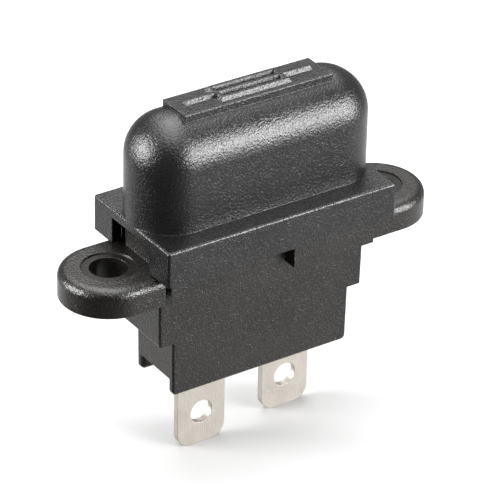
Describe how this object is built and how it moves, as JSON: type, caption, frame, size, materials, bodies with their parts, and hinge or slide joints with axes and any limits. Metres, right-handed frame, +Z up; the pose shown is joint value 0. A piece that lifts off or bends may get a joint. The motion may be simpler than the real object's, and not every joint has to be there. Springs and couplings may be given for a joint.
{
  "type": "fuse holder",
  "caption": "Panel-mount holder for a flat-blade fuse: a stepped body with two screw ears, a domed pull-off cover, and push-on tabs below.",
  "frame": {"origin": "midway between the two screw holes, in the plane of the ears' undersides, which is the face that rests on the panel", "axes": "+X along the holder through both screw holes, -Y towards the holder's front, +Z up out of the panel towards the cover"},
  "size_m": [0.0466, 0.0154, 0.0438],
  "materials": {
    "cover_plastic": "fine spark-eroded moulding grain, semi-matte",
    "body_plastic": "fine spark-eroded moulding grain, semi-matte",
    "tinned_brass": "satin tin plating with fine lengthwise rolling marks",
    "fuse_plastic": "tinted clear plastic",
    "zinc": "stamped zinc"
  },
  "bodies": {
    "holder": {"body": "body_plastic", "terminal_left": "tinned_brass", "terminal_right": "tinned_brass"},
    "cover": {"cover": "cover_plastic"},
    "fuse": {"fuse_housing": "fuse_plastic", "fuse_element": "zinc"}
  },
  "joints": [
    {"name": "cover_lift", "type": "slide", "parent": "holder", "child": "cover", "axis": [0, 0, 1], "range_m": [0, 0.04]},
    {"name": "fuse_pull", "type": "slide", "parent": "holder", "child": "fuse", "axis": [0, 0, 1], "range_m": [0, 0.02]}
  ],
  "couplings": [
    {"joint": "fuse_pull", "follows": "cover_lift", "ratio": 0.5}
  ]
}
